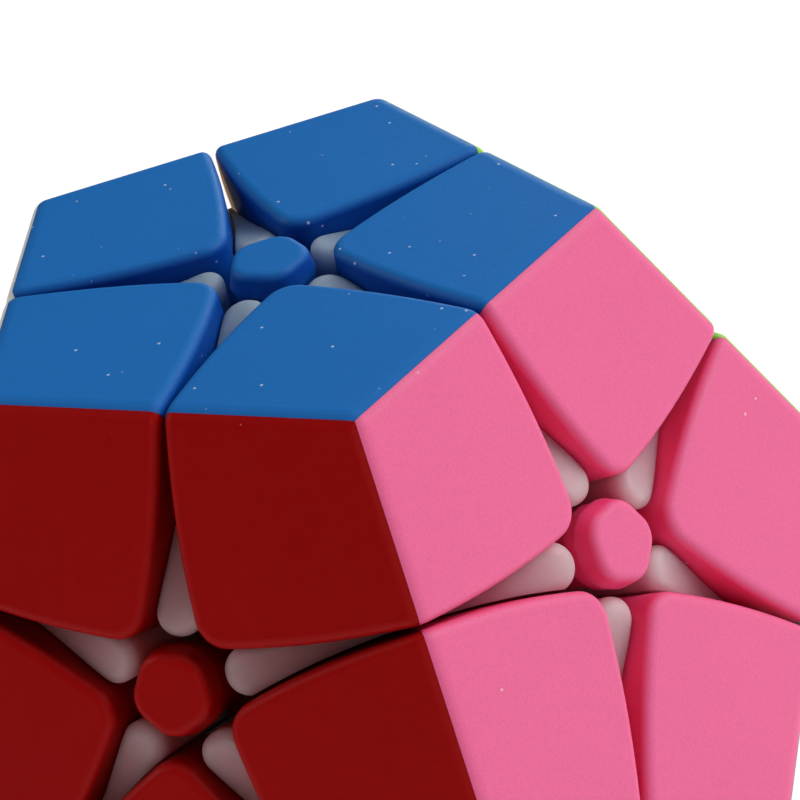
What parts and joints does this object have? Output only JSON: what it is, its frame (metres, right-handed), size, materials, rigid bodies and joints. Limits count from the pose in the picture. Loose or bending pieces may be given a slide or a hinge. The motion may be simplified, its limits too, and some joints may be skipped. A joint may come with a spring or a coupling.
{
  "type": "dodecahedron twisty puzzle",
  "caption": "Two-layer dodecahedron puzzle with coloured corners, small round-cornered centres and inner edges that turn about a sprung core.",
  "frame": {"origin": "centre of the core, where all twelve turning axes cross", "axes": "+Z out of the blue face; the corner of the blue, red and pink faces points to -Y; the pentagon corners of the blue face are at azimuth -90 degrees and every 72 degrees from it"},
  "size_m": [0.078, 0.0818, 0.0668],
  "materials": {
    "blue_plastic": "fine satin, moulded in colour",
    "red_plastic": "fine satin, moulded in colour",
    "pink_plastic": "fine satin, moulded in colour",
    "light_green_plastic": "fine satin, moulded in colour",
    "yellow_plastic": "fine satin, moulded in colour",
    "white_plastic": "fine satin, moulded in colour",
    "light_blue_plastic": "fine satin, moulded in colour",
    "orange_plastic": "fine satin, moulded in colour",
    "purple_plastic": "fine satin, moulded in colour",
    "dark_green_plastic": "fine satin, moulded in colour",
    "cream_plastic": "fine satin, moulded in colour",
    "grey_plastic": "fine satin, moulded in colour",
    "clear_white_plastic": "smooth, slightly see-through off-white",
    "white_nylon": "smooth, off-white",
    "steel": "bright zinc",
    "spring_steel": "drawn wire"
  },
  "bodies": {
    "core_group": {"centre_screws": "steel", "centre_springs": "spring_steel", "core": "white_nylon", "fixed_corner_bodies": "white_nylon", "fixed_cream_tiles": "cream_plastic", "fixed_internal_edges": "clear_white_plastic", "fixed_light_blue_tiles": "light_blue_plastic", "fixed_light_green_tiles": "light_green_plastic", "fixed_orange_tiles": "orange_plastic", "fixed_pink_tiles": "pink_plastic", "fixed_purple_tiles": "purple_plastic", "fixed_red_tiles": "red_plastic", "fixed_white_tiles": "white_plastic", "fixed_yellow_tiles": "yellow_plastic", "screw_washers": "steel"},
    "blue_layer": {"blue_centre": "blue_plastic", "blue_layer_blue_tiles": "blue_plastic", "blue_layer_corner_bodies": "white_nylon", "blue_layer_internal_edges": "clear_white_plastic", "blue_layer_light_green_tiles": "light_green_plastic", "blue_layer_pink_tiles": "pink_plastic", "blue_layer_red_tiles": "red_plastic", "blue_layer_white_tiles": "white_plastic", "blue_layer_yellow_tiles": "yellow_plastic"},
    "grey_layer": {"grey_centre": "grey_plastic", "grey_layer_corner_bodies": "white_nylon", "grey_layer_cream_tiles": "cream_plastic", "grey_layer_grey_tiles": "grey_plastic", "grey_layer_internal_edges": "clear_white_plastic", "grey_layer_light_blue_tiles": "light_blue_plastic", "grey_layer_light_green_tiles": "light_green_plastic", "grey_layer_orange_tiles": "orange_plastic", "grey_layer_pink_tiles": "pink_plastic"},
    "green_layer": {"dark_green_centre": "dark_green_plastic", "green_layer_corner_bodies": "white_nylon", "green_layer_cream_tiles": "cream_plastic", "green_layer_dark_green_tiles": "dark_green_plastic", "green_layer_internal_edges": "clear_white_plastic", "green_layer_light_blue_tiles": "light_blue_plastic", "green_layer_purple_tiles": "purple_plastic", "green_layer_red_tiles": "red_plastic", "green_layer_white_tiles": "white_plastic"},
    "red_hub": {"red_centre": "red_plastic"},
    "pink_hub": {"pink_centre": "pink_plastic"},
    "light_green_hub": {"light_green_centre": "light_green_plastic"},
    "yellow_hub": {"yellow_centre": "yellow_plastic"},
    "white_hub": {"white_centre": "white_plastic"},
    "light_blue_hub": {"light_blue_centre": "light_blue_plastic"},
    "orange_hub": {"orange_centre": "orange_plastic"},
    "purple_hub": {"purple_centre": "purple_plastic"},
    "cream_hub": {"cream_centre": "cream_plastic"}
  },
  "joints": [
    {"name": "face_turn_blue", "type": "hinge", "parent": "core_group", "child": "blue_layer", "pos_m": [0, 0, 0], "axis": [0, 0, 1], "continuous": true},
    {"name": "face_turn_grey", "type": "hinge", "parent": "core_group", "child": "grey_layer", "pos_m": [0, 0, 0], "axis": [0.8507, -0.2764, -0.4472], "continuous": true},
    {"name": "face_turn_green", "type": "hinge", "parent": "core_group", "child": "green_layer", "pos_m": [0, 0, 0], "axis": [-0.8507, -0.2764, -0.4472], "continuous": true},
    {"name": "hub_spin_red", "type": "hinge", "parent": "core_group", "child": "red_hub", "pos_m": [0, 0, 0], "axis": [-0.5257, -0.7236, 0.4472], "continuous": true},
    {"name": "hub_spin_pink", "type": "hinge", "parent": "core_group", "child": "pink_hub", "pos_m": [0, 0, 0], "axis": [0.5257, -0.7236, 0.4472], "continuous": true},
    {"name": "hub_spin_light_green", "type": "hinge", "parent": "core_group", "child": "light_green_hub", "pos_m": [0, 0, 0], "axis": [0.8507, 0.2764, 0.4472], "continuous": true},
    {"name": "hub_spin_yellow", "type": "hinge", "parent": "core_group", "child": "yellow_hub", "pos_m": [0, 0, 0], "axis": [0, 0.8944, 0.4472], "continuous": true},
    {"name": "hub_spin_white", "type": "hinge", "parent": "core_group", "child": "white_hub", "pos_m": [0, 0, 0], "axis": [-0.8507, 0.2764, 0.4472], "continuous": true},
    {"name": "hub_spin_light_blue", "type": "hinge", "parent": "core_group", "child": "light_blue_hub", "pos_m": [0, 0, 0], "axis": [0, 0, -1], "continuous": true},
    {"name": "hub_spin_orange", "type": "hinge", "parent": "core_group", "child": "orange_hub", "pos_m": [0, 0, 0], "axis": [0.5257, 0.7236, -0.4472], "continuous": true},
    {"name": "hub_spin_purple", "type": "hinge", "parent": "core_group", "child": "purple_hub", "pos_m": [0, 0, 0], "axis": [-0.5257, 0.7236, -0.4472], "continuous": true},
    {"name": "hub_spin_cream", "type": "hinge", "parent": "core_group", "child": "cream_hub", "pos_m": [0, 0, 0], "axis": [0, -0.8944, -0.4472], "continuous": true}
  ]
}
